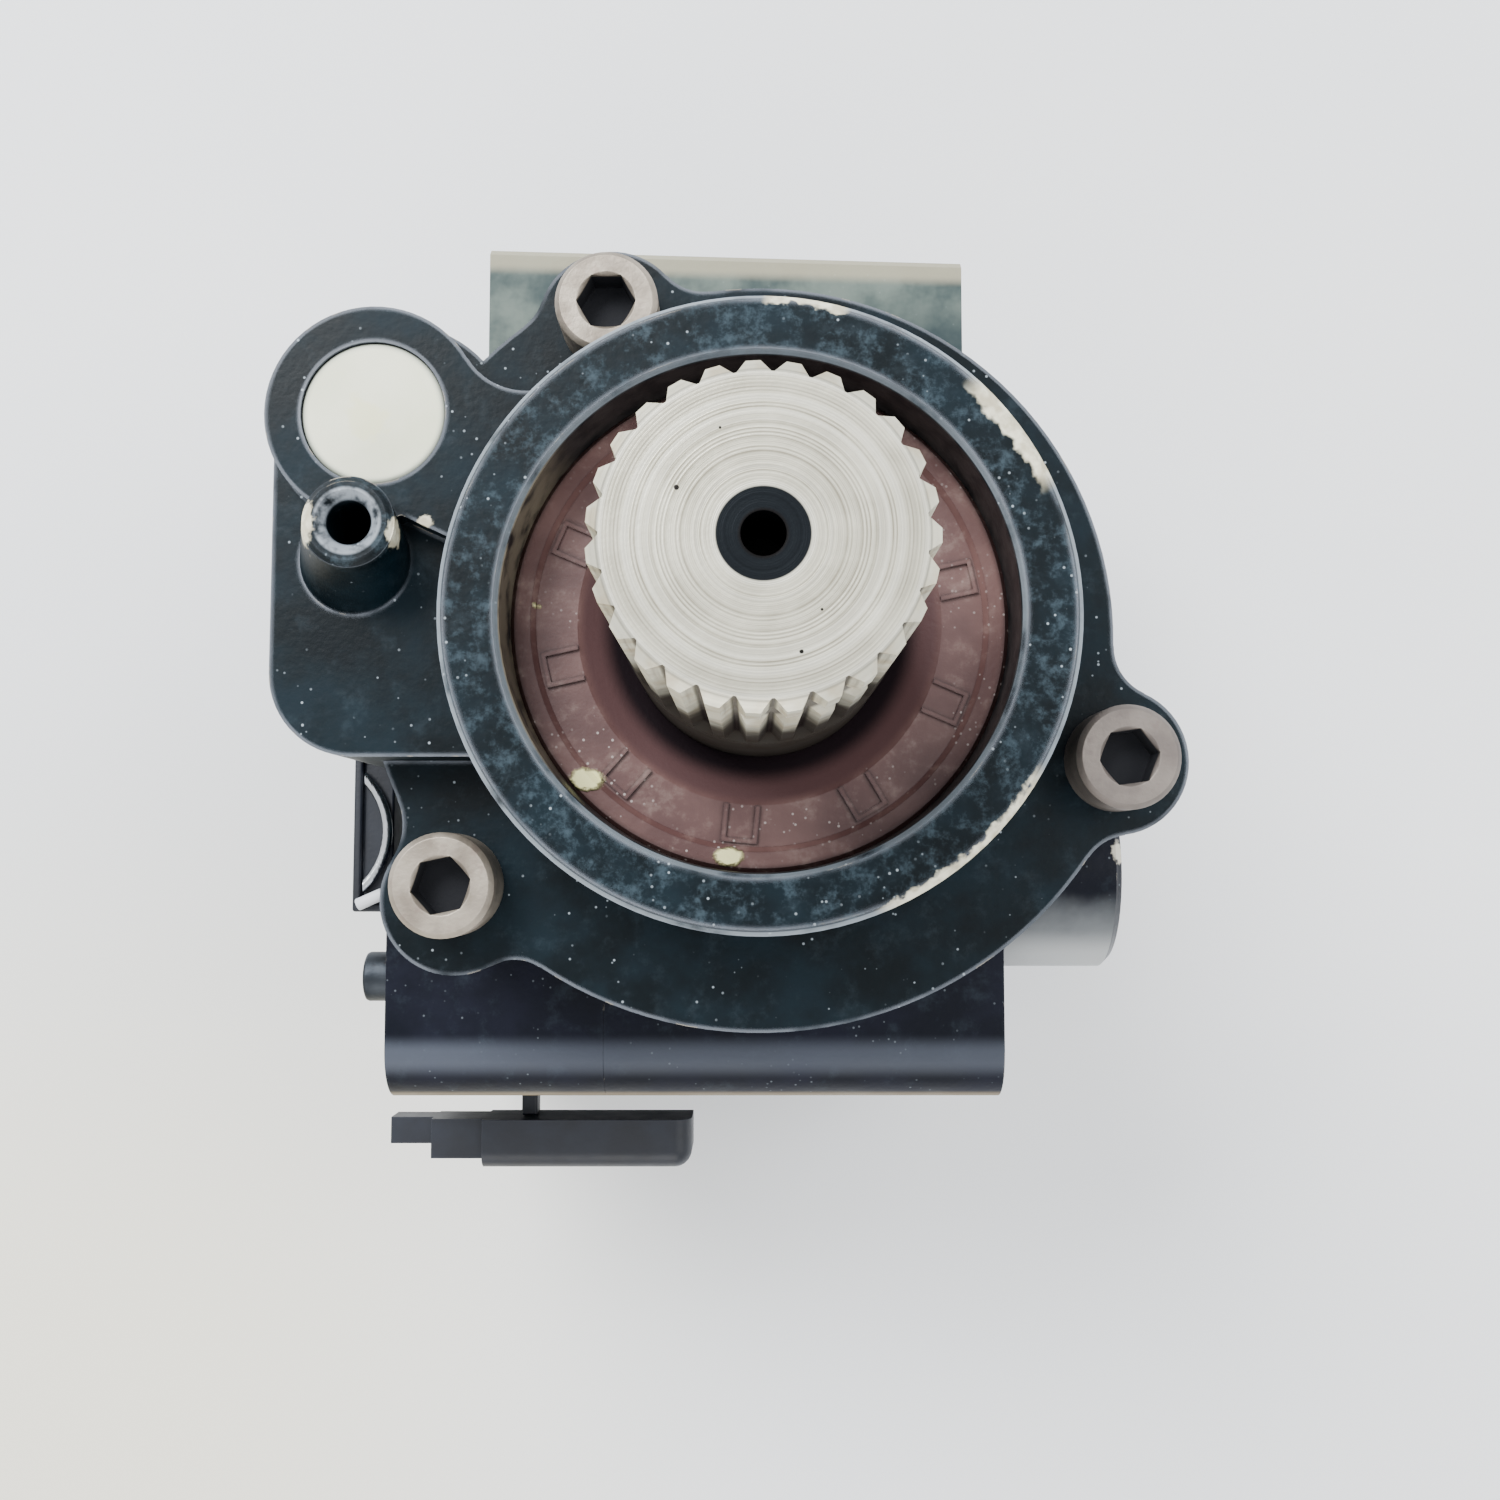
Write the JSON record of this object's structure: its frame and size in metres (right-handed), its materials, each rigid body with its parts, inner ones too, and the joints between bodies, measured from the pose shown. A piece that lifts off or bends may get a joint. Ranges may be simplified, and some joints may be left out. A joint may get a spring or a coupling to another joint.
{
  "type": "geared drive unit",
  "caption": "Compact flange-mounted geared drive with a splined output shaft, pilot ring, shaft seal, planetary stage, motor and side connector.",
  "frame": {"origin": "on the output shaft axis, in the front face of the flange, at the foot of the pilot ring", "axes": "+Z out along the output shaft, +Y towards the upper block, +X towards the side cap"},
  "size_m": [0.0903, 0.1105, 0.1412],
  "materials": {
    "black_casting": "satin black coat over cast aluminium",
    "dark_housing": "satin black coat",
    "plug": "off-white, matt",
    "seal_rubber": "brown moulded rubber",
    "black_rubber": "black moulded rubber",
    "gasket": "grey-black sheet",
    "worn_screw": "worn zinc",
    "dark_steel": "dark zinc",
    "shaft_steel": "fine turned",
    "gear_steel": "hobbed, oiled",
    "bright_steel": "ground",
    "bronze": "sintered",
    "magnet": "nickel plated",
    "lamination": "stacked sheet",
    "copper": "enamelled copper",
    "board": "solder mask",
    "component": "moulded",
    "connector_plastic": "glass-filled nylon",
    "contact": "tinned contact",
    "white_plastic": "white nylon"
  },
  "bodies": {
    "housing": {"front_cover": "black_casting", "gear_housing": "black_casting", "motor_housing": "black_casting", "rear_cover": "black_casting", "control_housing": "dark_housing", "terminal_housing": "dark_housing", "side_cap": "dark_housing", "bore_plug": "plug", "shaft_seal": "seal_rubber", "cap_gasket": "black_rubber", "cover_gasket": "gasket", "rear_gasket": "gasket", "cover_screws": "worn_screw", "tie_bolts": "dark_steel", "bearing_circlip": "dark_steel", "side_stud": "dark_steel", "ring_gear": "gear_steel", "front_bearing_outer_ring": "bright_steel", "rear_bearing_outer_ring": "bright_steel", "motor_bearing_outer_rings": "bright_steel", "seal_case": "bright_steel", "seal_garter_spring": "bright_steel", "clip_wire": "bright_steel", "pinion_bushes": "bronze", "stator_core": "lamination", "stator_windings": "copper", "sensor_board": "board", "control_board": "board", "board_components": "component", "connector_body": "connector_plastic", "connector_neck": "connector_plastic", "clip_body": "connector_plastic", "connector_pins": "contact", "clip_pin": "white_plastic"},
    "output": {"output_shaft": "shaft_steel", "takeoff_gear": "gear_steel", "carrier_rear_plate": "gear_steel", "planet_pins": "bright_steel", "front_bearing_inner_ring": "bright_steel", "rear_bearing_inner_ring": "bright_steel"},
    "front_cage": {"front_bearing_balls": "bright_steel", "front_bearing_cage": "bronze"},
    "rear_balls": {"rear_bearing_balls": "bright_steel"},
    "planet_1": {"planet_gear_1": "gear_steel", "planet_bush_1": "bronze"},
    "planet_2": {"planet_gear_2": "gear_steel", "planet_bush_2": "bronze"},
    "planet_3": {"planet_gear_3": "gear_steel", "planet_bush_3": "bronze"},
    "pinion": {"takeoff_pinion": "gear_steel", "encoder_magnet": "magnet"},
    "rotor": {"rotor_shaft": "gear_steel", "rotor_core": "lamination", "rotor_magnets": "magnet", "motor_bearing_inner_rings": "bright_steel"},
    "motor_balls": {"motor_bearing_balls": "bright_steel"}
  },
  "joints": [
    {"name": "output_spin", "type": "hinge", "parent": "housing", "child": "output", "pos_m": [0, 0, 0], "axis": [0, 0, 1], "continuous": true},
    {"name": "front_cage_spin", "type": "hinge", "parent": "housing", "child": "front_cage", "pos_m": [0, 0, -0.008], "axis": [0, 0, 1], "continuous": true},
    {"name": "rear_balls_spin", "type": "hinge", "parent": "housing", "child": "rear_balls", "pos_m": [0, 0, -0.0466], "axis": [0, 0, 1], "continuous": true},
    {"name": "planet_1_spin", "type": "hinge", "parent": "output", "child": "planet_1", "pos_m": [0.018, 0, -0.033], "axis": [0, 0, 1], "continuous": true},
    {"name": "planet_2_spin", "type": "hinge", "parent": "output", "child": "planet_2", "pos_m": [-0.009, 0.01559, -0.033], "axis": [0, 0, 1], "continuous": true},
    {"name": "planet_3_spin", "type": "hinge", "parent": "output", "child": "planet_3", "pos_m": [-0.009, -0.01559, -0.033], "axis": [0, 0, 1], "continuous": true},
    {"name": "pinion_spin", "type": "hinge", "parent": "housing", "child": "pinion", "pos_m": [-0.03628, 0.01953, -0.0413], "axis": [0, 0, 1], "continuous": true},
    {"name": "rotor_spin", "type": "hinge", "parent": "housing", "child": "rotor", "pos_m": [0, 0, -0.07], "axis": [0, 0, 1], "continuous": true},
    {"name": "motor_balls_spin", "type": "hinge", "parent": "housing", "child": "motor_balls", "pos_m": [0, 0, -0.07], "axis": [0, 0, 1], "continuous": true}
  ],
  "couplings": [
    {"joint": "front_cage_spin", "follows": "output_spin", "ratio": 0.40833},
    {"joint": "rear_balls_spin", "follows": "output_spin", "ratio": 0.44516},
    {"joint": "planet_1_spin", "follows": "output_spin", "ratio": -3},
    {"joint": "planet_2_spin", "follows": "output_spin", "ratio": -3},
    {"joint": "planet_3_spin", "follows": "output_spin", "ratio": -3},
    {"joint": "pinion_spin", "follows": "output_spin", "ratio": -3.9048},
    {"joint": "rotor_spin", "follows": "output_spin", "ratio": 4},
    {"joint": "motor_balls_spin", "follows": "output_spin", "ratio": 1.48}
  ]
}
